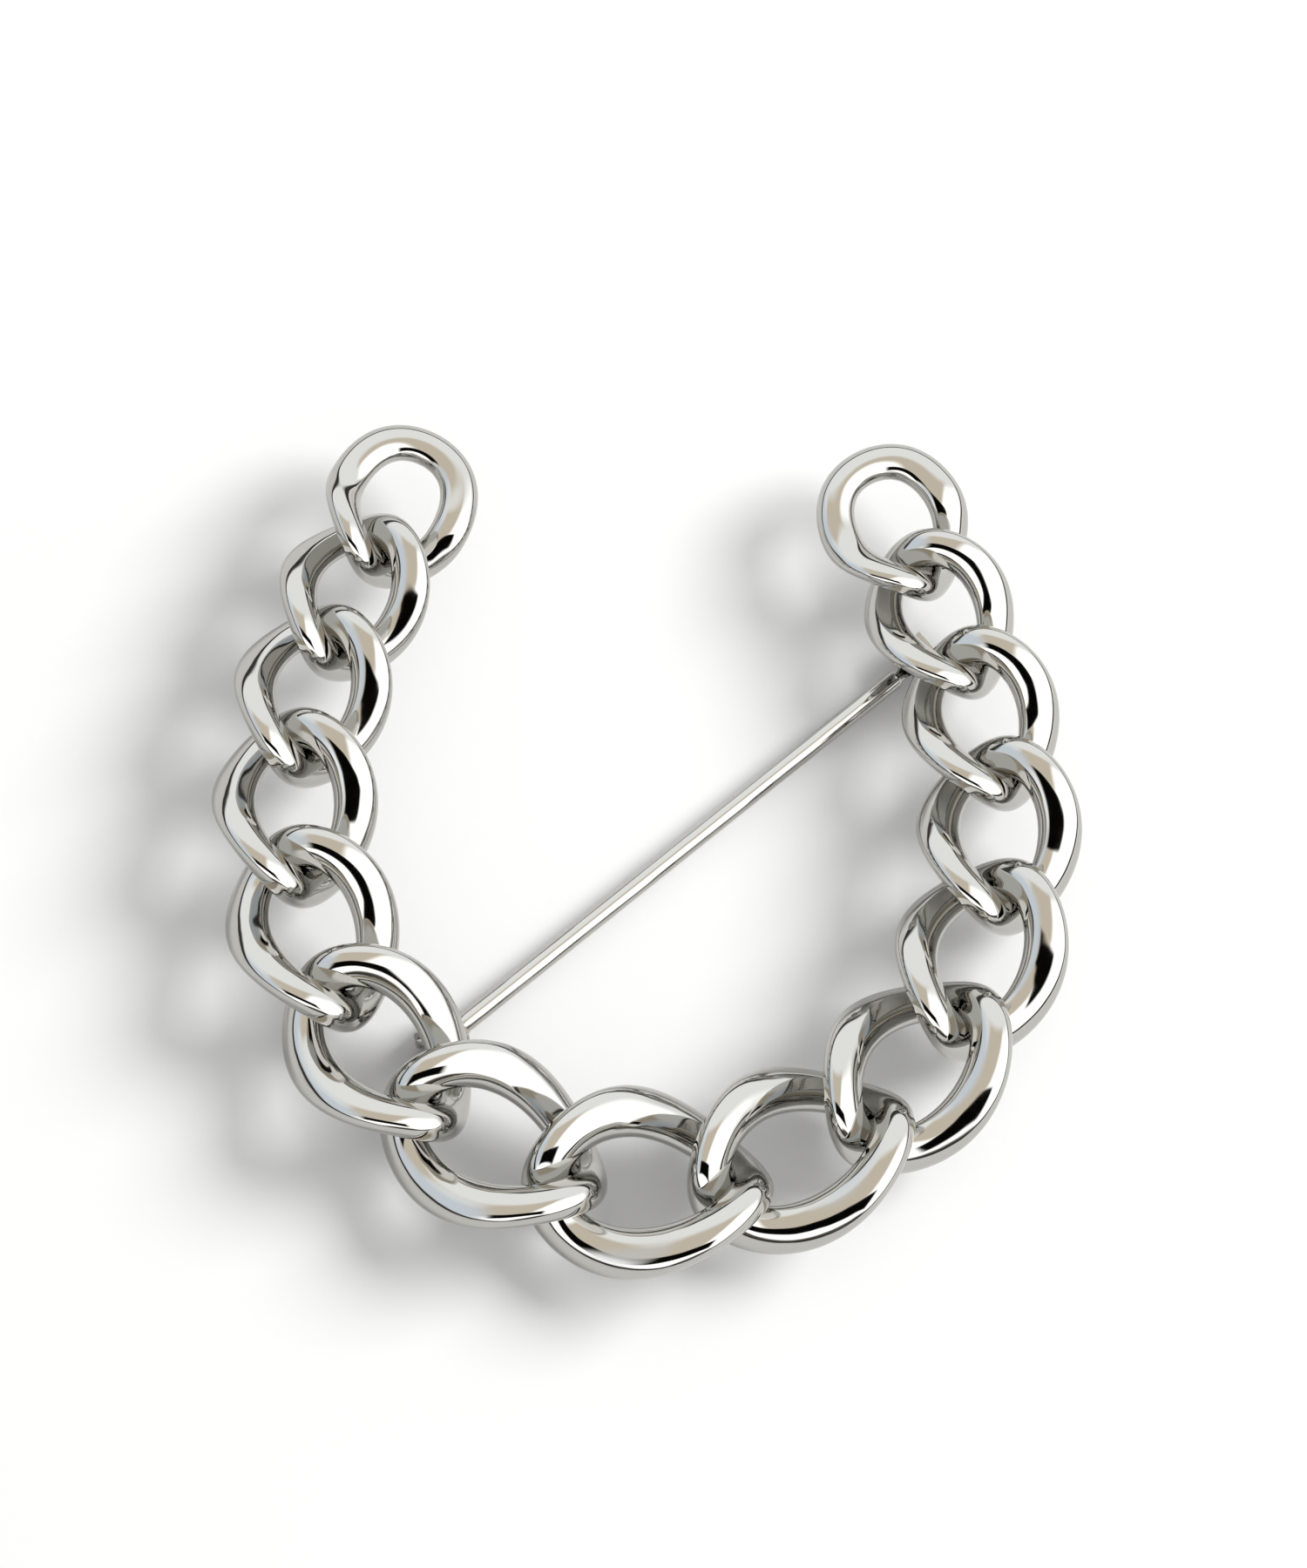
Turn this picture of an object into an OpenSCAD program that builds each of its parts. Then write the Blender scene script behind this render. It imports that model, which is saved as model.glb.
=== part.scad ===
/* [Chain] */
// Number of interlocked links in the horseshoe
link_count = 15; // [15:15]
// Distance between the centres of the first two links at an open end
pitch_end = 7.17; // [7.1:0.01:7.25]
// Distance between the centres of neighbouring links at the bottom
pitch_mid = 10.75; // [10.65:0.01:10.85]
// How the pitch grows from the ends to the bottom
pitch_grade = 1.2; // [1.1:0.05:1.3]
// Turn of the chain from link to link at the open ends
turn_end = 5.2; // [5:0.1:5.6]
// Turn of the chain from link to link at the bottom
turn_mid = 27.1; // [26.8:0.1:27.4]
// How the turn grows from the ends to the bottom
turn_grade = 0.57; // [0.55:0.01:0.6]

/* [Link] */
// Half width of the smallest link, measured to the middle of the wire
half_w_end = 3.49; // [3.45:0.01:3.55]
// Half width of the largest link, measured to the middle of the wire
half_w_mid = 4.85; // [4.8:0.01:4.9]
// Half width of the wire along the sides of the smallest link
side_end = 1.3; // [1.25:0.01:1.35]
// Half width of the wire along the sides of the largest link
side_mid = 1.74; // [1.7:0.01:1.78]
// Half width of the wire round the ends of the smallest link
nose_end = 1.2; // [1.16:0.01:1.24]
// Half width of the wire round the ends of the largest link
nose_mid = 1.6; // [1.56:0.01:1.64]
// Fullness of the oval: 0 is an ellipse, more is squarer
oval_fullness = 0.016; // [0:0.002:0.02]
// Wire thickness as a share of its width along the sides
wire_flat = 0.86; // [0.84:0.01:0.88]
// Twist of each end of a link about its own long axis
link_twist = 46; // [45:0.5:48]
// Share of the twist that the free half of the first and last link keeps
free_twist = 0.05; // [0:0.05:0.2]
// Depth to which the noses of neighbouring links are fused into each other
nose_fuse = 0.26; // [0.2:0.02:0.3]
// Extra half width of the first and last link, which are rounder than their neighbours
end_round = 0.3; // [0.2:0.05:0.35]
// Length missing from the free end of the first and last link
end_short = 0.4; // [0.2:0.1:0.6]
// Height of the chain's middle plane above the stem's axis
chain_rise = 4.7; // [4.65:0.05:4.9]

/* [Pin stem] */
// Radius of the straight round part of the stem
stem_r = 0.65; // [0.6:0.01:0.65]
// Radius of the neck where the wire runs into the eye
neck_r = 0.48; // [0.46:0.01:0.48]
// Distance from the hinge axis to the end of the neck
neck_len = 2; // [1.6:0.1:2.4]
// Distance from the hinge axis to the start of the point
stem_straight = 40; // [39:0.5:40]
// Distance from the hinge axis to the tip
stem_len = 43.8; // [43.7:0.1:44]
// Radius of the sharpened tip
tip_r = 0.1; // [0.08:0.01:0.15]
// Hinge axis, across the front view from the chain's middle
hinge_x = 18.7; // [18.6:0.05:18.8]
// Hinge axis, up the front view from the chain's middle
hinge_y = 15.65; // [15.55:0.05:15.75]
// Direction of the stem from the hinge to the catch
stem_angle = 221; // [220.75:0.25:221.25]

/* [Hinge] */
// Radius of the rivet that the stem turns on
rivet_r = 0.4; // [0.38:0.01:0.42]
// Radial play of the stem's eye on the rivet
eye_play = 0.05; // [0.03:0.01:0.08]
// Outer radius of the stem's eye
eye_r = 0.85; // [0.8:0.05:0.9]
// Width of the stem's eye along the rivet
eye_w = 1.4; // [1.35:0.05:1.5]
// Radius of the round end of each lug
lug_r = 1; // [0.95:0.05:1.05]
// Thickness of each lug
lug_t = 0.4; // [0.35:0.05:0.45]
// Gap between the eye and a lug
lug_gap = 0.06; // [0.05:0.01:0.08]

/* [Catch] */
// Distance from the hinge axis to the middle of the catch
catch_at = 42.1; // [42:0.1:42.2]
// Outer radius of the two fixed hooks
hook_r = 1.55; // [1.5:0.05:1.6]
// Bore radius of the two fixed hooks
hook_bore_r = 1.15; // [1.14:0.01:1.17]
// Length of each fixed hook along the stem
hook_len = 0.75; // [0.7:0.05:0.8]
// Outer radius of the turning safety barrel
barrel_r = 1.1; // [1.08:0.01:1.1]
// Bore radius of the safety barrel
barrel_bore_r = 0.8; // [0.78:0.01:0.82]
// Width of the mouth that lets the stem in
mouth_w = 1.45; // [1.45:0.05:1.5]
// Gap between the hooks for the barrel's thumb tab
tab_gap = 0.8; // [0.75:0.05:0.85]
// Reach of the thumb tab from the barrel's axis
tab_reach = 1.95; // [1.85:0.05:2]

/* [Hidden] */
$fn = 48;

// The hooks' lowest edges stand at z = 0, and the chain's middle plane is measured from there
stem_z = sqrt(pow(hook_r, 2) - pow(mouth_w / 2, 2));
chain_z = stem_z + chain_rise;

// Mesh fineness of one link: stations round the loop and points round the wire
stations = 36;
wire_points = 12;

// Share of the way from an open end (0) to the bottom of the chain (1), for joint or link k of n
function to_mid(k, n) = 1 - abs(2 * k / (n - 1) - 1);
function grade(lo, hi, s, power) = lo + (hi - lo) * pow(s, power);

joints = link_count - 1;
pitch = [for (k = [0 : joints - 1]) grade(pitch_end, pitch_mid, to_mid(k, joints), pitch_grade)];
turn = [for (k = [0 : joints - 2]) grade(turn_end, turn_mid, to_mid(k, joints - 1), turn_grade)];

function sum_to(list, n) = n <= 0 ? 0 : list[n - 1] + sum_to(list, n - 1);
turn_total = sum_to(turn, joints - 1);

// Direction of the straight line from link k to link k + 1
function step_dir(k) = sum_to(turn, k) - turn_total / 2;
function walk(k) = k <= 0 ? [0, 0] : walk(k - 1) + pitch[k - 1] * [cos(step_dir(k - 1)), sin(step_dir(k - 1))];
walked = [for (k = [0 : joints]) walk(k)];

function heading(k) = k == 0 ? step_dir(0)
    : k == joints ? step_dir(joints - 1)
    : (step_dir(k - 1) + step_dir(k)) / 2;
function own_pitch(k) = k == 0 ? pitch[0]
    : k == joints ? pitch[joints - 1]
    : (pitch[k - 1] + pitch[k]) / 2;
function bend(k) = turn[max(0, min(joints - 2, k - 1))];

// Which end of link k hangs free: -1 for its back end, 1 for its front end, 0 for neither
function free_side(k) = k == 0 ? -1 : k == joints ? 1 : 0;

// Turn of the wire about the link's long axis at share q of its half length, fading out towards a free end
free_fade = 5;
function twist_at(q, free) =
    let (kept = free == 0 ? 1 : free_twist + (1 - free_twist) / (1 + exp(free_fade * free * q)))
    -link_twist * kept * q;

// One ring of points round the wire, at angle t of the loop
function ring(t, half_l, half_w, nose, side, free) =
    let (cu = half_l * (cos(t) - oval_fullness * cos(3 * t)) / (1 - oval_fullness))
    let (cw = half_w * (sin(t) + oval_fullness * sin(3 * t)) / (1 - oval_fullness))
    let (nu = half_w * (cos(t) + 3 * oval_fullness * cos(3 * t)))
    let (nw = half_l * (sin(t) - 3 * oval_fullness * sin(3 * t)))
    let (out = [nu, nw] / norm([nu, nw]))
    let (half = nose + (side - nose) * out[1] * out[1])
    [for (j = [0 : wire_points - 1])
        let (a = 360 * j / wire_points)
        let (u = cu + out[0] * half * cos(a))
        let (w = cw + out[1] * half * cos(a))
        let (z = side * wire_flat * sin(a))
        let (tau = twist_at(u / half_l, free))
        [u - free * end_short / 2, w * cos(tau) - z * sin(tau), w * sin(tau) + z * cos(tau)]];

// All points of link k about its own centre: each end of the oval is turned about the long axis, so that
// neighbours lie flat together, but the free half of the first and last link stays nearly flat
function link_points(k) =
    let (s = to_mid(k, link_count))
    let (nose = grade(nose_end, nose_mid, s, 1))
    let (side = grade(side_end, side_mid, s, 1))
    let (free = free_side(k))
    let (half_w = grade(half_w_end, half_w_mid, s, 1) + abs(free) * end_round)
    let (reach = own_pitch(k) / 2 / cos(bend(k) / 2) + nose - nose_fuse / 2)
    let (half_l = reach - abs(free) * end_short / 2)
    [for (i = [0 : stations - 1])
        each ring(360 * i / stations, half_l, half_w, nose, side, free)];

// The chain's box is centred on the origin, between its two arms and between its lowest and highest edges
function link_edge(k) = [for (p = link_points(k))
    walked[k][1] + p[0] * sin(heading(k)) + p[1] * cos(heading(k))];
mid_x = (walked[0][0] + walked[joints][0]) / 2;
mid_y = (min(link_edge(joints / 2)) + max(link_edge(joints))) / 2;
centre = [for (p = walked) p - [mid_x, mid_y]];

module twisted_link(points) {
    faces = [for (i = [0 : stations - 1], j = [0 : wire_points - 1])
        let (i2 = (i + 1) % stations, j2 = (j + 1) % wire_points)
        let (a = i * wire_points + j, b = i * wire_points + j2)
        let (c = i2 * wire_points + j2, d = i2 * wire_points + j)
        each [[a, b, c], [a, c, d]]];
    polyhedron(points = points, faces = faces, convexity = 6);
}

module link(k) {
    color([0.80, 0.80, 0.79])
        translate([centre[k][0], centre[k][1], chain_z])
            rotate([0, 0, heading(k)])
                twisted_link(link_points(k));
}

// Fittings frame: x along the stem from the hinge to the tip, y along the rivet
module at_pin() {
    translate([hinge_x, hinge_y, stem_z])
        rotate([0, 0, stem_angle])
            children();
}

// A cylinder along the fittings' y axis, centred
module across(r, length) {
    rotate([90, 0, 0])
        cylinder(r = r, h = length, center = true);
}

// A cylinder along the fittings' x axis from x0 to x1
module along(r, x0, x1) {
    translate([x0, 0, 0])
        rotate([0, 90, 0])
            cylinder(r = r, h = x1 - x0);
}

// Solder plates: thickness, and the height of each plate's underside above the stem's axis
plate_t = 0.5;
hinge_plate_z = 1.55;
catch_plate_z = 1.8;
// How far the hinge plate reaches from the rivet, away from the catch and towards it
plate_back = 0.9;
plate_front = 1.3;
catch_plate_w = 2;
lug_y = eye_w / 2 + lug_gap + lug_t / 2;
hinge_half_w = eye_w / 2 + lug_gap + lug_t;

module hinge_bracket() {
    color([0.72, 0.72, 0.71])
        at_pin()
            difference() {
                union() {
                    translate([-plate_back, -hinge_half_w, hinge_plate_z])
                        cube([plate_back + plate_front, 2 * hinge_half_w, plate_t]);
                    for (side = [-1, 1]) {
                        translate([0, side * lug_y, 0])
                            across(lug_r, lug_t);
                        translate([-plate_back, side * lug_y - lug_t / 2, 0])
                            cube([plate_back + lug_r, lug_t, hinge_plate_z + plate_t / 2]);
                    }
                }
                across(rivet_r, 2 * hinge_half_w + 1);
            }
}

rivet_head_r = 0.62;
rivet_head_t = 0.2;

module hinge_rivet() {
    color([0.66, 0.66, 0.65])
        at_pin()
            union() {
                across(rivet_r, 2 * hinge_half_w);
                for (side = [-1, 1])
                    translate([0, side * (hinge_half_w + rivet_head_t / 2), 0])
                        across(rivet_head_r, rivet_head_t);
            }
}

module pin_stem() {
    color([0.84, 0.84, 0.84])
        at_pin()
            difference() {
                union() {
                    across(eye_r, eye_w);
                    along(neck_r, 0, neck_len);
                    along(stem_r, neck_len, stem_straight);
                    translate([stem_straight, 0, 0])
                        rotate([0, 90, 0])
                            cylinder(r1 = stem_r, r2 = tip_r, h = stem_len - stem_straight);
                }
                across(rivet_r + eye_play, 2 * eye_w);
            }
}

hook_out = tab_gap / 2 + hook_len;
post_w = 1.6;

module mouth(r, x0, x1) {
    translate([x0, -mouth_w / 2, -r])
        cube([x1 - x0, mouth_w, r]);
}

module catch_bracket() {
    color([0.72, 0.72, 0.71])
        at_pin()
            translate([catch_at, 0, 0])
                difference() {
                    union() {
                        translate([-hook_out, -catch_plate_w / 2, catch_plate_z])
                            cube([2 * hook_out, catch_plate_w, plate_t]);
                        for (side = [-1, 1]) {
                            x0 = side < 0 ? -hook_out : tab_gap / 2;
                            along(hook_r, x0, x0 + hook_len);
                            translate([x0, -post_w / 2, 0])
                                cube([hook_len, post_w, catch_plate_z + plate_t / 2]);
                        }
                    }
                    along(hook_bore_r, -hook_out - 1, hook_out + 1);
                    mouth(hook_r + 1, -hook_out - 1, hook_out + 1);
                }
}

module safety_barrel() {
    tab_angle = 35;
    barrel_half = hook_out + 0.3;
    color([0.84, 0.84, 0.84])
        at_pin()
            translate([catch_at, 0, 0])
                difference() {
                    union() {
                        along(barrel_r, -barrel_half, barrel_half);
                        rotate([tab_angle, 0, 0])
                            translate([-tab_gap / 2 + 0.1, 0, -0.3])
                                cube([tab_gap - 0.2, tab_reach, 0.6]);
                    }
                    along(barrel_bore_r, -barrel_half - 1, barrel_half + 1);
                    mouth(barrel_r + 1, -barrel_half - 1, barrel_half + 1);
                }
}

link(0);  // link_01
link(1);  // link_02
link(2);  // link_03
link(3);  // link_04
link(4);  // link_05
link(5);  // link_06
link(6);  // link_07
link(7);  // link_08
link(8);  // link_09
link(9);  // link_10
link(10);  // link_11
link(11);  // link_12
link(12);  // link_13
link(13);  // link_14
link(14);  // link_15
hinge_bracket();
hinge_rivet();
pin_stem();
catch_bracket();
safety_barrel();
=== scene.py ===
import math
import bmesh
import bpy
from mathutils import Matrix, Vector


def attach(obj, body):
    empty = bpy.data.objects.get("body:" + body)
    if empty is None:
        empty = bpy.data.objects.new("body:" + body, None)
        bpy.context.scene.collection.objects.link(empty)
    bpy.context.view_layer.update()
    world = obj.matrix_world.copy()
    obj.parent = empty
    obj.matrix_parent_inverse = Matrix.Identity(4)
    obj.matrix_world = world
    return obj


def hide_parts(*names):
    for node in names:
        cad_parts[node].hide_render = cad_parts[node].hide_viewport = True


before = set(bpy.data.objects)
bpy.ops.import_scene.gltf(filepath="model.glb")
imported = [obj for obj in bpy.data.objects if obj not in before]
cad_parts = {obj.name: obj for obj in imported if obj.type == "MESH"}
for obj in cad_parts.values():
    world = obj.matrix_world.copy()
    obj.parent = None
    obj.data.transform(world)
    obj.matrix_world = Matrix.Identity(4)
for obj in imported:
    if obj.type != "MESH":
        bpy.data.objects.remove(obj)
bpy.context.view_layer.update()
mm = 0.001

# Millimetres and degrees. Pairs run from the open ends of the horseshoe to its bottom
chain = {
    "links": 15,
    "pitch": (7.17, 10.75), "pitchGrade": 1.2,   # from centre to centre
    "turn": (5.2, 27.1), "turnGrade": 0.57,      # bend from link to link
    "halfWidth": (3.49, 4.85),                   # to the middle of the wire
    "side": (1.3, 1.74), "nose": (1.2, 1.6),     # half the wire's width, along the sides and round the ends
    "fullness": 0.016,                           # 0 is an ellipse, more is squarer
    "wireFlat": 0.86,                            # the wire's thickness for a width of 1
    "twist": 46,                                 # from the middle of a link to each nose
    "freeTwist": 0.05, "freeFade": 5,            # share of the twist at a free end, and how fast it fades
    "noseFuse": 0.26,                            # hooked noses run this far into each other
    "endRound": 0.3, "endShort": 0.4,            # the first and last link are rounder and shorter
    "rise": 4.7,                                 # chain's middle plane above the stem's axis
    "loopCuts": 96, "wireCuts": 32,
    "measureStep": 5, "measureSkip": 6,          # how finely a link's reach is measured
}
# Places along the stem are measured from the rivet, heights from the stem's axis
catch = {
    "at": 42.1,
    "plateLow": 1.8, "plateHalf": 1,
    "postWide": 1.6, "postInset": 0.01,          # the inset keeps the post clear of the hook's flat ends
    "hookRadius": 1.55, "hookBore": 1.15, "hookLong": 0.75, "mouth": 1.45,
    "barrelRadius": 1.1, "barrelBore": 0.8, "barrelOver": 0.3,
    "tabGap": 0.8, "tabPlay": 0.1, "tabThick": 0.6, "tabReach": 1.95, "tabAngle": 35,
    "cutReach": 3,                               # the cutters go past what they cut
    "edge": 0.02, "barrelEdge": 0.015,
}
stemHeight = math.sqrt(catch["hookRadius"] ** 2 - (catch["mouth"] / 2) ** 2)
chainHeight = stemHeight + chain["rise"]


# Where each link sits

def toMid(k, count):  # 0 at an open end, 1 at the bottom of the horseshoe
    return 1 - abs(2 * k / (count - 1) - 1)


def grade(pair, share, power=1):
    return pair[0] + (pair[1] - pair[0]) * share ** power


joints = chain["links"] - 1    # places where one link meets the next
pitch = [grade(chain["pitch"], toMid(k, joints), chain["pitchGrade"]) for k in range(joints)]
turn = [grade(chain["turn"], toMid(k, joints - 1), chain["turnGrade"]) for k in range(joints - 1)]
stepDir = [sum(turn[:k]) - sum(turn) / 2 for k in range(joints)]
heading = [stepDir[0]] + [(a + b) / 2 for a, b in zip(stepDir, stepDir[1:])] + [stepDir[-1]]
ownPitch = [pitch[0]] + [(a + b) / 2 for a, b in zip(pitch, pitch[1:])] + [pitch[-1]]
bend = [turn[max(0, min(joints - 2, k - 1))] for k in range(chain["links"])]


def linkShape(k):
    share = toMid(k, chain["links"])
    nose = grade(chain["nose"], share)
    free = -1 if k == 0 else 1 if k == joints else 0    # which end hangs free
    reach = ownPitch[k] / 2 / math.cos(math.radians(bend[k] / 2)) + nose - chain["noseFuse"] / 2
    return {
        "halfLength": reach - abs(free) * chain["endShort"] / 2,
        "halfWidth": grade(chain["halfWidth"], share) + abs(free) * chain["endRound"],
        "nose": nose,
        "side": grade(chain["side"], share),
        "free": free,
    }


def linkPoint(shape, t, a):  # t goes round the loop, a goes round the wire
    length, width, free, full = shape["halfLength"], shape["halfWidth"], shape["free"], chain["fullness"]
    u = length * (math.cos(t) - full * math.cos(3 * t)) / (1 - full)
    w = width * (math.sin(t) + full * math.sin(3 * t)) / (1 - full)
    out = Vector((width * (math.cos(t) + 3 * full * math.cos(3 * t)),
                  length * (math.sin(t) - 3 * full * math.sin(3 * t)))).normalized()
    half = shape["nose"] + (shape["side"] - shape["nose"]) * out.y ** 2
    u += out.x * half * math.cos(a)
    w += out.y * half * math.cos(a)
    z = shape["side"] * chain["wireFlat"] * math.sin(a)
    q = u / length
    kept = 1
    if free:
        kept = chain["freeTwist"] + (1 - chain["freeTwist"]) / (1 + math.exp(chain["freeFade"] * free * q))
    tau = -math.radians(chain["twist"]) * kept * q
    return Vector((u - free * chain["endShort"] / 2,
                   w * math.cos(tau) - z * math.sin(tau),
                   w * math.sin(tau) + z * math.cos(tau)))


walked = [Vector((0, 0, 0))]    # the links' middles, from one open end to the other
for k in range(joints):
    step = math.radians(stepDir[k])
    walked.append(walked[k] + pitch[k] * Vector((math.cos(step), math.sin(step), 0)))


def linkEdge(k):  # the link's reach up and down the front view
    shape, turned = linkShape(k), Matrix.Rotation(math.radians(heading[k]), 3, "Z")
    cuts = [math.radians(i) for i in range(0, 360, chain["measureStep"])]
    coarse = cuts[::chain["measureSkip"]]
    reach = [(turned @ linkPoint(shape, t, a)).y + walked[k].y for t in cuts for a in coarse]
    return min(reach), max(reach)


# Taken off every link, this centres the horseshoe and lifts it to its height
middle = Vector(((walked[0].x + walked[joints].x) / 2,
                 (linkEdge(joints // 2)[0] + linkEdge(joints)[1]) / 2,
                 -chainHeight))


def deselectAll():
    bpy.ops.object.select_all(action="DESELECT")


def finishMesh(piece):
    deselectAll()
    piece.select_set(True)
    bpy.context.view_layer.objects.active = piece
    bpy.ops.object.mode_set(mode="EDIT")
    bpy.ops.mesh.select_all(action="SELECT")
    bpy.ops.mesh.normals_make_consistent(inside=False)
    bpy.ops.object.mode_set(mode="OBJECT")
    bpy.ops.object.transform_apply(location=True, rotation=True, scale=True)


def applyModifier(piece, kind, **settings):
    modifier = piece.modifiers.new(kind.title(), kind)
    for key, value in settings.items():
        setattr(modifier, key, value)
    deselectAll()
    piece.select_set(True)
    bpy.context.view_layer.objects.active = piece
    bpy.ops.object.modifier_apply(modifier=modifier.name)


def linearColour(hexText):
    parts = [int(hexText[i:i + 2], 16) / 255 for i in (1, 3, 5)]
    return tuple(p / 12.92 if p <= 0.04045 else ((p + 0.055) / 1.055) ** 2.4 for p in parts) + (1,)


def addNode(tree, kind, settings=(), links=(), values=()):
    node = tree.nodes.new(kind)
    for key, value in dict(settings).items():
        setattr(node, key, value)
    for key, value in dict(values).items():
        node.inputs[key].default_value = value
    for key, source in dict(links).items():
        tree.links.new(source, node.inputs[key])
    return node


def newMaterial(name):
    material = bpy.data.materials.new(name)
    material.use_nodes = True
    tree = material.node_tree
    return material, tree, tree.nodes["Principled BSDF"]


def polishedSilverTone():
    # Rhodium-look plating over cast metal, buffed on a cloth wheel: a mirror with faint waves in it
    material, tree, shader = newMaterial("buffed silver-tone plating")
    shader.inputs["Base Color"].default_value = linearColour("#B6B5B1")
    shader.inputs["Metallic"].default_value = 1
    place = addNode(tree, "ShaderNodeTexCoord").outputs["Object"]
    haze = addNode(tree, "ShaderNodeTexNoise", links={"Vector": place},
                   values={"Scale": 900, "Detail": 4, "Roughness": 0.6})       # 1 mm clouds of fine haze
    rough = addNode(tree, "ShaderNodeMapRange", links={"Value": haze.outputs["Fac"]},
                    values={"From Min": 0.35, "From Max": 0.7, "To Min": 0.035, "To Max": 0.075})
    tree.links.new(rough.outputs["Result"], shader.inputs["Roughness"])
    waves = addNode(tree, "ShaderNodeTexNoise", links={"Vector": place},
                    values={"Scale": 420, "Detail": 1, "Roughness": 0.4})      # 2.4 mm buffing waves
    bump = addNode(tree, "ShaderNodeBump", links={"Height": waves.outputs["Fac"]},
                   values={"Strength": 0.35, "Distance": 0.00009})
    tree.links.new(bump.outputs["Normal"], shader.inputs["Normal"])
    return material


def satinFitting():
    material, tree, shader = newMaterial("tumbled silver-tone plating")
    shader.inputs["Base Color"].default_value = linearColour("#A6A49F")
    shader.inputs["Metallic"].default_value = 1
    shader.inputs["Roughness"].default_value = 0.24
    place = addNode(tree, "ShaderNodeTexCoord").outputs["Object"]
    grit = addNode(tree, "ShaderNodeTexNoise", links={"Vector": place},
                   values={"Scale": 9000, "Detail": 2})                        # 0.1 mm tumbling marks
    bump = addNode(tree, "ShaderNodeBump", links={"Height": grit.outputs["Fac"]},
                   values={"Strength": 0.3, "Distance": 0.00001})
    tree.links.new(bump.outputs["Normal"], shader.inputs["Normal"])
    return material


silverTone = polishedSilverTone()
satin = satinFitting()


# Each link is a torus whose points are moved onto the twisted oval, by their angles alone

def addLink(k):
    deselectAll()
    bpy.ops.mesh.primitive_torus_add(major_segments=chain["loopCuts"], minor_segments=chain["wireCuts"],
                                     major_radius=1, minor_radius=0.25)
    link = bpy.context.active_object
    link.name = f"twistedLink{k + 1:02d}"
    shape = linkShape(k)
    turned = Matrix.Rotation(math.radians(heading[k]), 3, "Z")
    for v in link.data.vertices:
        t = math.atan2(v.co.y, v.co.x)
        a = math.atan2(v.co.z, math.hypot(v.co.x, v.co.y) - 1)
        v.co = (turned @ linkPoint(shape, t, a) + walked[k] - middle) * mm
    finishMesh(link)
    applyModifier(link, "SUBSURF", levels=1, render_levels=1)
    bpy.ops.object.shade_smooth()
    link.data.materials.clear()
    link.data.materials.append(silverTone)
    node = f"link_{k + 1:02d}"
    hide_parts(node)
    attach(link, "brooch")


for k in range(chain["links"]):
    addLink(k)
print("links made")

# What the fittings share
fittings = {
    "roundCuts": 64, "plateThick": 0.5,
    "sunk": 0.2,                                 # a leg or post runs this far into its plate
    "bevelSteps": 3, "sharpFrom": 35,            # edges that turn more than this are rounded
}
stem = {
    "radius": 0.65, "neckRadius": 0.48, "neckEnd": 2, "shoulder": 0.3,
    "pointStart": 40, "tipAt": 43.8, "tipRadius": 0.1, "pointCurve": 1.3, "pointSteps": 12,
    "eyeRadius": 0.85, "eyeWide": 1.4, "eyePlay": 0.05,
    "edge": 0.06,
}
hinge = {
    "at": (18.7, 15.65), "angle": 221,           # the rivet's place and the way that the stem points
    "rivetRadius": 0.4, "headRadius": 0.62, "headThick": 0.2,
    "lugRadius": 1, "lugThick": 0.4, "lugGap": 0.06,
    "plateLow": 1.55, "plateBack": 0.9, "plateFront": 1.3,
    "edge": 0.08, "rivetEdge": 0.09,
}

# Fittings are made lying along the stem, x from the hinge to the point and y along the rivet
pinPlace = (Matrix.Translation(Vector((*hinge["at"], stemHeight)) * mm)
            @ Matrix.Rotation(math.radians(hinge["angle"]), 4, "Z"))
lying = {"x": (0, math.pi / 2, 0), "y": (math.pi / 2, 0, 0)}


def addRod(axis, radius, length, centre=(0, 0, 0)):
    deselectAll()
    bpy.ops.mesh.primitive_cylinder_add(vertices=fittings["roundCuts"], radius=radius * mm,
                                        depth=length * mm, location=Vector(centre) * mm,
                                        rotation=lying[axis])
    rod = bpy.context.active_object
    bpy.ops.object.transform_apply(location=True, rotation=True, scale=True)
    return rod


def addBlock(low, high, turnX=0):
    deselectAll()
    low, high = Vector(low), Vector(high)
    bpy.ops.mesh.primitive_cube_add(size=1, location=(low + high) / 2 * mm)
    block = bpy.context.active_object
    bpy.ops.transform.resize(value=(high - low) * mm)
    bpy.ops.object.transform_apply(location=True, rotation=True, scale=True)
    block.data.transform(Matrix.Rotation(math.radians(turnX), 4, "X"))
    return block


def combine(piece, others, operation):
    for other in others:
        applyModifier(piece, "BOOLEAN", operation=operation, object=other, solver="EXACT")
        bpy.data.objects.remove(other)


def finishFitting(piece, name, node, body, material, edge):
    sharp = math.radians(fittings["sharpFrom"])
    applyModifier(piece, "BEVEL", width=edge * mm, segments=fittings["bevelSteps"],
                  limit_method="ANGLE", angle_limit=sharp)
    piece.data.transform(pinPlace)
    finishMesh(piece)
    bpy.ops.object.shade_smooth_by_angle(angle=sharp)
    applyModifier(piece, "WEIGHTED_NORMAL", keep_sharp=True)
    piece.name = name
    piece.data.materials.clear()
    piece.data.materials.append(material)
    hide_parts(node)
    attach(piece, body)


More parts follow.
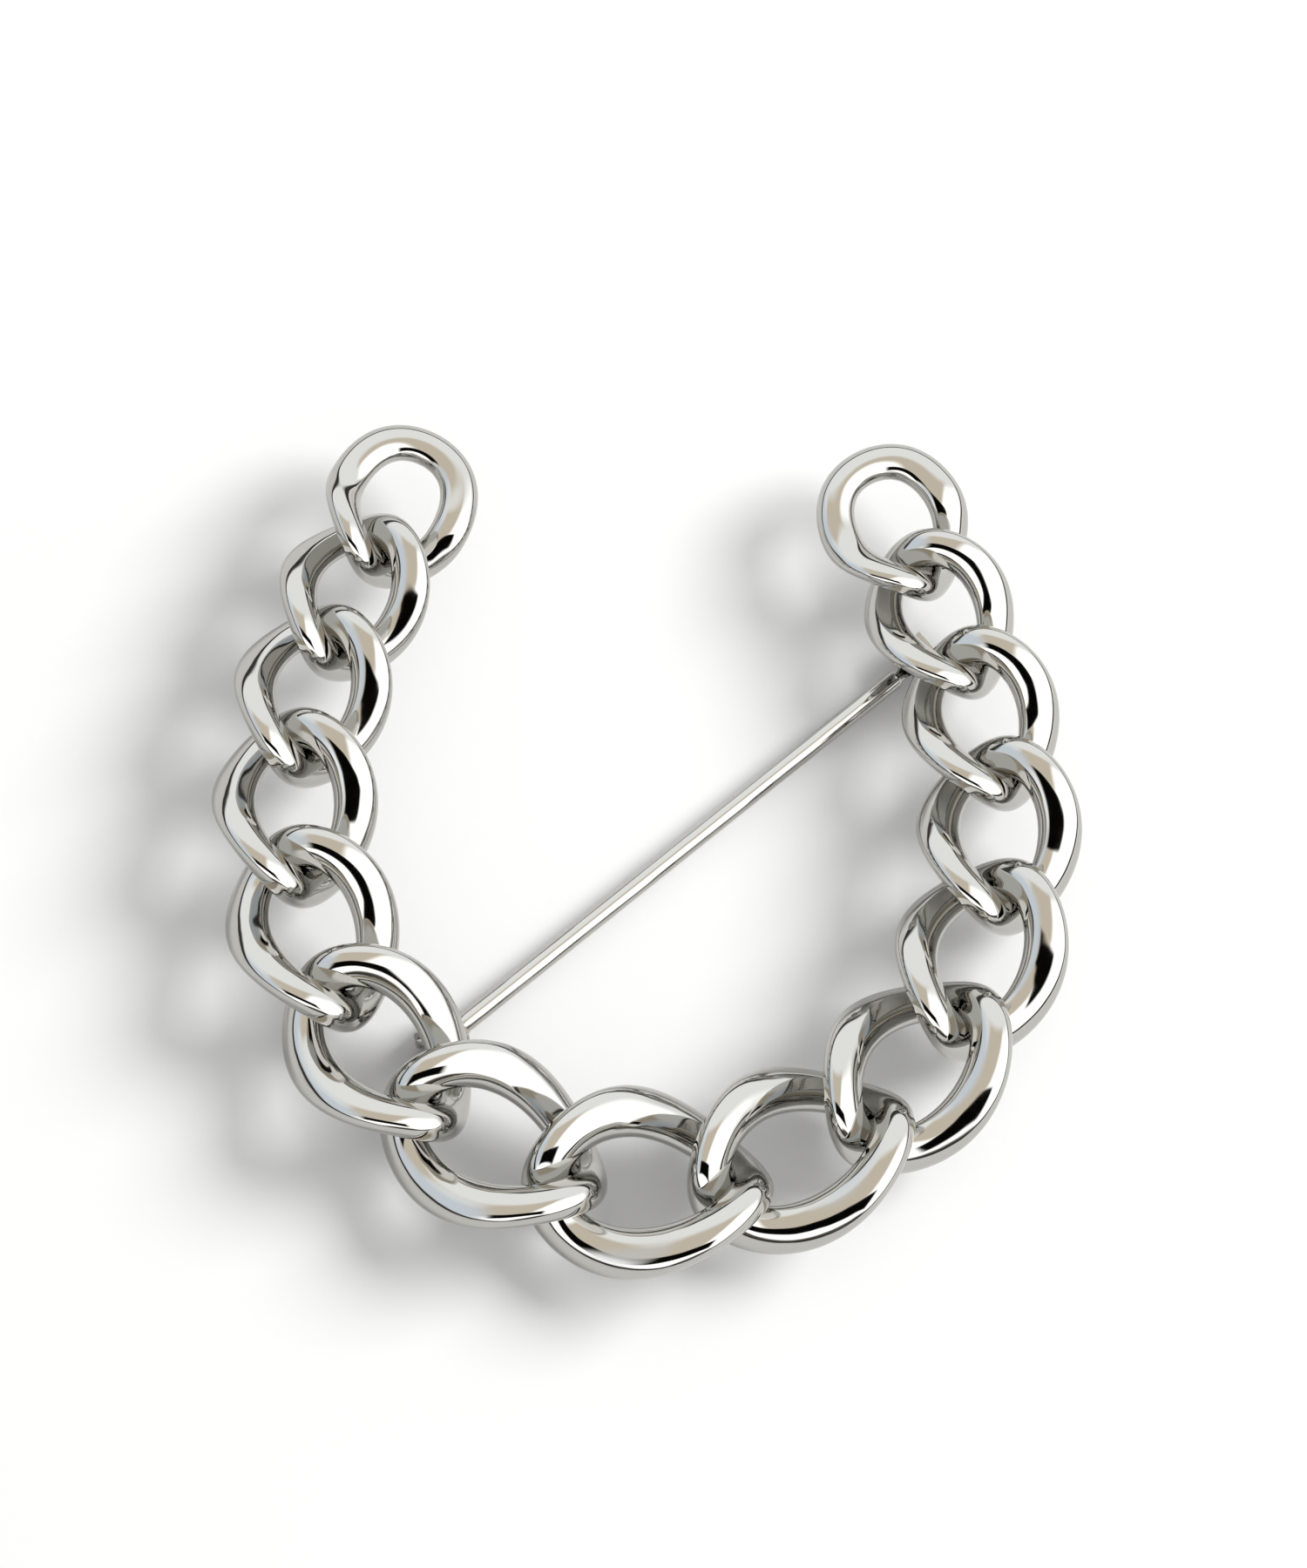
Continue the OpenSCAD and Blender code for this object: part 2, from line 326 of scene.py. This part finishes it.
def addStem():
    s = stem
    shankLength = s["pointStart"] - s["neckEnd"]
    wire = addRod("x", s["radius"], shankLength, ((s["pointStart"] + s["neckEnd"]) / 2, 0, 0))
    bpy.ops.object.mode_set(mode="EDIT")
    mesh = bmesh.from_edit_mesh(wire.data)

    def pickCap(side):  # at the neck (-1) or at the point (1)
        bpy.ops.mesh.select_mode(type="FACE")
        bpy.ops.mesh.select_all(action="DESELECT")
        mesh.faces.ensure_lookup_table()
        caps = [c for c in mesh.faces if c.normal.x * side > 0.99]
        cap = max(caps, key=lambda c: c.calc_center_median().x * side)
        cap.select_set(True)
        bmesh.update_edit_mesh(wire.data)
        return cap.calc_center_median()

    def drawOut(capMiddle, step, scale):
        bpy.ops.mesh.extrude_region_move(TRANSFORM_OT_translate={"value": (step * mm, 0, 0)})
        capMiddle.x += step * mm
        bpy.ops.transform.resize(value=(1, scale, scale), center_override=capMiddle)

    capMiddle = pickCap(1)
    radius, step = s["radius"], (s["tipAt"] - s["pointStart"]) / s["pointSteps"]
    for i in range(1, s["pointSteps"] + 1):
        slimmer = 1 - (i / s["pointSteps"]) ** s["pointCurve"]
        nextRadius = s["tipRadius"] + (s["radius"] - s["tipRadius"]) * slimmer
        drawOut(capMiddle, step, nextRadius / radius)
        radius = nextRadius
    capMiddle = pickCap(-1)
    drawOut(capMiddle, -s["shoulder"], s["neckRadius"] / s["radius"])
    drawOut(capMiddle, s["shoulder"] - s["neckEnd"], 1)
    bpy.ops.object.mode_set(mode="OBJECT")
    combine(wire, [addRod("y", s["eyeRadius"], s["eyeWide"])], "UNION")
    combine(wire, [addRod("y", hinge["rivetRadius"] + s["eyePlay"], s["eyeWide"] * 2)], "DIFFERENCE")
    finishFitting(wire, "pinStem", "pin_stem", "stem", silverTone, s["edge"])


def addHinge():
    h, half = hinge, hinge["lugThick"] / 2
    lugMiddle = stem["eyeWide"] / 2 + h["lugGap"] + half
    halfWide = lugMiddle + half
    low, high = h["plateLow"], h["plateLow"] + fittings["plateThick"]
    plate = addBlock((-h["plateBack"], -halfWide, low), (h["plateFront"], halfWide, high))
    for side in (-1, 1):
        y = side * lugMiddle
        leg = addBlock((-h["plateBack"], y - half, 0), (h["lugRadius"], y + half, low + fittings["sunk"]))
        combine(plate, [leg, addRod("y", h["lugRadius"], h["lugThick"], (0, y, 0))], "UNION")
    combine(plate, [addRod("y", h["rivetRadius"], 4 * halfWide)], "DIFFERENCE")
    finishFitting(plate, "hingeBracket", "hinge_bracket", "brooch", satin, h["edge"])

    rivet = addRod("y", h["rivetRadius"], 2 * halfWide)
    for side in (-1, 1):
        headPlace = (0, side * (halfWide + h["headThick"] / 2), 0)
        combine(rivet, [addRod("y", h["headRadius"], h["headThick"], headPlace)], "UNION")
    finishFitting(rivet, "hingeRivet", "hinge_rivet", "brooch", satin, h["rivetEdge"])


def cutTube(piece, bore):  # a bore along the stem, open along its underside
    at, reach, halfMouth = catch["at"], catch["cutReach"], catch["mouth"] / 2
    mouth = addBlock((at - reach, -halfMouth, -reach), (at + reach, halfMouth, 0))
    combine(piece, [addRod("x", bore, 2 * reach, (at, 0, 0)), mouth], "DIFFERENCE")


def addCatch():
    c, at = catch, catch["at"]
    outer, halfPlate = c["tabGap"] / 2 + c["hookLong"], c["plateHalf"]
    low, high = c["plateLow"], c["plateLow"] + fittings["plateThick"]
    plate = addBlock((at - outer, -halfPlate, low), (at + outer, halfPlate, high))
    for side in (-1, 1):
        x = at + side * (c["tabGap"] + c["hookLong"]) / 2
        halfLong, halfWide = c["hookLong"] / 2 - c["postInset"], c["postWide"] / 2
        post = addBlock((x - halfLong, -halfWide, 0), (x + halfLong, halfWide, low + fittings["sunk"]))
        combine(plate, [post, addRod("x", c["hookRadius"], c["hookLong"], (x, 0, 0))], "UNION")
    cutTube(plate, c["hookBore"])
    finishFitting(plate, "catchBracket", "catch_bracket", "brooch", satin, c["edge"])

    barrel = addRod("x", c["barrelRadius"], 2 * (outer + c["barrelOver"]), (at, 0, 0))
    halfTab, halfThick = c["tabGap"] / 2 - c["tabPlay"], c["tabThick"] / 2
    tab = addBlock((at - halfTab, 0, -halfThick), (at + halfTab, c["tabReach"], halfThick), c["tabAngle"])
    combine(barrel, [tab], "UNION")
    cutTube(barrel, c["barrelBore"])
    finishFitting(barrel, "safetyBarrel", "safety_barrel", "barrel", silverTone, c["barrelEdge"])


addStem()
addHinge()
addCatch()
print("fittings made")


# The camera looks down on the front of the brooch, from a little below and to the left
view = {
    "tilt": 17.0, "lean": 7.64,
    "distance": 3000, "frameHeight": 104.05, "sensor": 36,
    "centre": (-0.05, 1.94), "aimRight": 0.46, "aimUp": 2.89,    # the framing's middle, then its shift
}
tilt, lean = math.radians(view["tilt"]), math.radians(view["lean"])
right = Vector((math.cos(lean), 0, math.sin(lean)))
up = Vector((-math.sin(lean) * math.sin(tilt), math.cos(tilt), math.cos(lean) * math.sin(tilt)))
towards = right.cross(up)
aim = Vector((*view["centre"], chainHeight)) + view["aimRight"] * right + view["aimUp"] * up

cameraData = bpy.data.cameras.new("camera")
cameraData.sensor_width = view["sensor"]
cameraData.lens = view["sensor"] * view["distance"] / view["frameHeight"]
cameraData.clip_start = 0.01
camera = bpy.data.objects.new("camera", cameraData)
bpy.context.scene.collection.objects.link(camera)
facing = Matrix((right, up, towards)).transposed().to_4x4()
camera.matrix_world = Matrix.Translation((aim + view["distance"] * towards) * mm) @ facing
bpy.context.scene.camera = camera
print("camera set")


# A white paper floor, one soft lamp and an even sky. Sizes are in metres
studio = {
    "floorSize": 4, "floorPaint": "#F2F2F1",
    "keyFrom": (0.75, 0.25, 0.72), "keyFar": 0.9, "keySize": 0.5, "keyWatts": 7,
    "skyPaint": "#FBFBFA", "skyStrength": 0.66,
}


def addFloor():
    deselectAll()
    bpy.ops.mesh.primitive_plane_add(size=studio["floorSize"], location=(0, 0, 0))
    floor = bpy.context.active_object
    floor.name = "floor"
    paper, tree, shader = newMaterial("white paper floor")
    shader.inputs["Base Color"].default_value = linearColour(studio["floorPaint"])
    shader.inputs["Roughness"].default_value = 0.9                             # uncoated, so hardly any sheen
    shader.inputs["Specular IOR Level"].default_value = 0.1
    floor.data.materials.append(paper)


def addKeyLight():  # the metal doesn't mirror it, since the tent gives the reflections
    data = bpy.data.lights.new("keyLight", "AREA")
    data.shape = "DISK"
    data.size = studio["keySize"]
    data.energy = studio["keyWatts"]
    light = bpy.data.objects.new("keyLight", data)
    bpy.context.scene.collection.objects.link(light)
    direction = Vector(studio["keyFrom"]).normalized()
    light.location = direction * studio["keyFar"]
    light.rotation_euler = direction.to_track_quat("Z", "Y").to_euler()
    light.visible_glossy = False


def addSky():
    sky = bpy.data.worlds.new("studio")
    sky.use_nodes = True
    bpy.context.scene.world = sky
    background = sky.node_tree.nodes["Background"]
    background.inputs["Color"].default_value = linearColour(studio["skyPaint"])
    background.inputs["Strength"].default_value = studio["skyStrength"]


# A tent that only reflections see. Each patch has a paint, a strength and its edges: a direction, the
# lowest and highest share of it, and their softness. Later patches cover earlier ones
front = (towards, 0.16, 2, 0.14)
tent = {
    "radius": 1.6, "segments": 96, "rings": 48, "bareGlow": 2.4,
    "patches": [
        # pale grey behind the brooch
        ("#B4B7B8", 1.8, [(towards, -2, 0.02, 0.15)]),
        # white card above
        ("#E3E5E6", 2.0, [(up, 0.5, 2, 0.15)]),
        # beige board, slanting
        ("#C4BBAD", 1.95, [(right - 0.6 * up, -1.0, 0.16, 0.13), (up, -0.33, 0.62, 0.1), front]),
        # cool light from the left
        ("#C9D2DD", 1.9, [(right, -2, -0.72, 0.16), (up, -0.6, 0.7, 0.25)]),
        # black flag below, slanting
        ("#0B0A09", 1.0, [(up + 0.28 * right, -0.68, -0.34, 0.025), (right, -0.68, 0.3, 0.06), front]),
        # brown strip along the lower edge
        ("#6A655C", 1.0, [(up, -0.93, -0.84, 0.03), (right, -0.3, 0.5, 0.12)]),
        # dark line at the height of the floor
        ("#4A4742", 1.0, [(Vector((0, 0, 1)), -0.06, 0.12, 0.03)]),
    ],
}


def addTent():
    deselectAll()
    bpy.ops.mesh.primitive_uv_sphere_add(segments=tent["segments"], ring_count=tent["rings"],
                                         radius=tent["radius"], location=(0, 0, 0))
    shell = bpy.context.active_object
    shell.name = "lightTent"
    material, tree, shader = newMaterial("lit studio tent")
    tree.nodes.remove(shader)
    glow = addNode(tree, "ShaderNodeEmission", values={"Strength": 1})
    tree.links.new(glow.outputs["Emission"], tree.nodes["Material Output"].inputs["Surface"])
    place = addNode(tree, "ShaderNodeTexCoord").outputs["Object"]
    way = addNode(tree, "ShaderNodeVectorMath", {"operation": "NORMALIZE"}, {0: place}).outputs["Vector"]

    def times(a, b):
        return addNode(tree, "ShaderNodeMath", {"operation": "MULTIPLY"}, {0: a, 1: b}).outputs["Value"]

    def band(direction, low, high, soft):
        share = addNode(tree, "ShaderNodeVectorMath", {"operation": "DOT_PRODUCT"}, {0: way}, {1: direction})
        rise = addNode(tree, "ShaderNodeMapRange", {"interpolation_type": "SMOOTHSTEP"},
                       {"Value": share.outputs["Value"]},
                       {"From Min": low - soft, "From Max": low + soft})
        fall = addNode(tree, "ShaderNodeMapRange", {"interpolation_type": "SMOOTHSTEP"},
                       {"Value": share.outputs["Value"]},
                       {"From Min": high - soft, "From Max": high + soft, "To Min": 1, "To Max": 0})
        return times(rise.outputs["Result"], fall.outputs["Result"])

    colour = None
    for paintHex, strength, edges in tent["patches"]:
        patch = band(*edges[0])
        for edge in edges[1:]:
            patch = times(patch, band(*edge))
        mix = addNode(tree, "ShaderNodeMix", {"data_type": "RGBA"}, {0: patch})    # 6 and 7 are its colours
        mix.inputs[6].default_value = (tent["bareGlow"],) * 3 + (1,)
        mix.inputs[7].default_value = [c * strength for c in linearColour(paintHex)[:3]] + [1]
        if colour:
            tree.links.new(colour, mix.inputs[6])
        colour = mix.outputs[2]
    tree.links.new(colour, glow.inputs["Color"])
    shell.data.materials.append(material)
    shell.visible_camera = False
    shell.visible_diffuse = False
    shell.visible_shadow = False


addFloor()
addKeyLight()
addSky()
addTent()
bpy.context.scene.view_settings.view_transform = "Standard"
print("studio made")
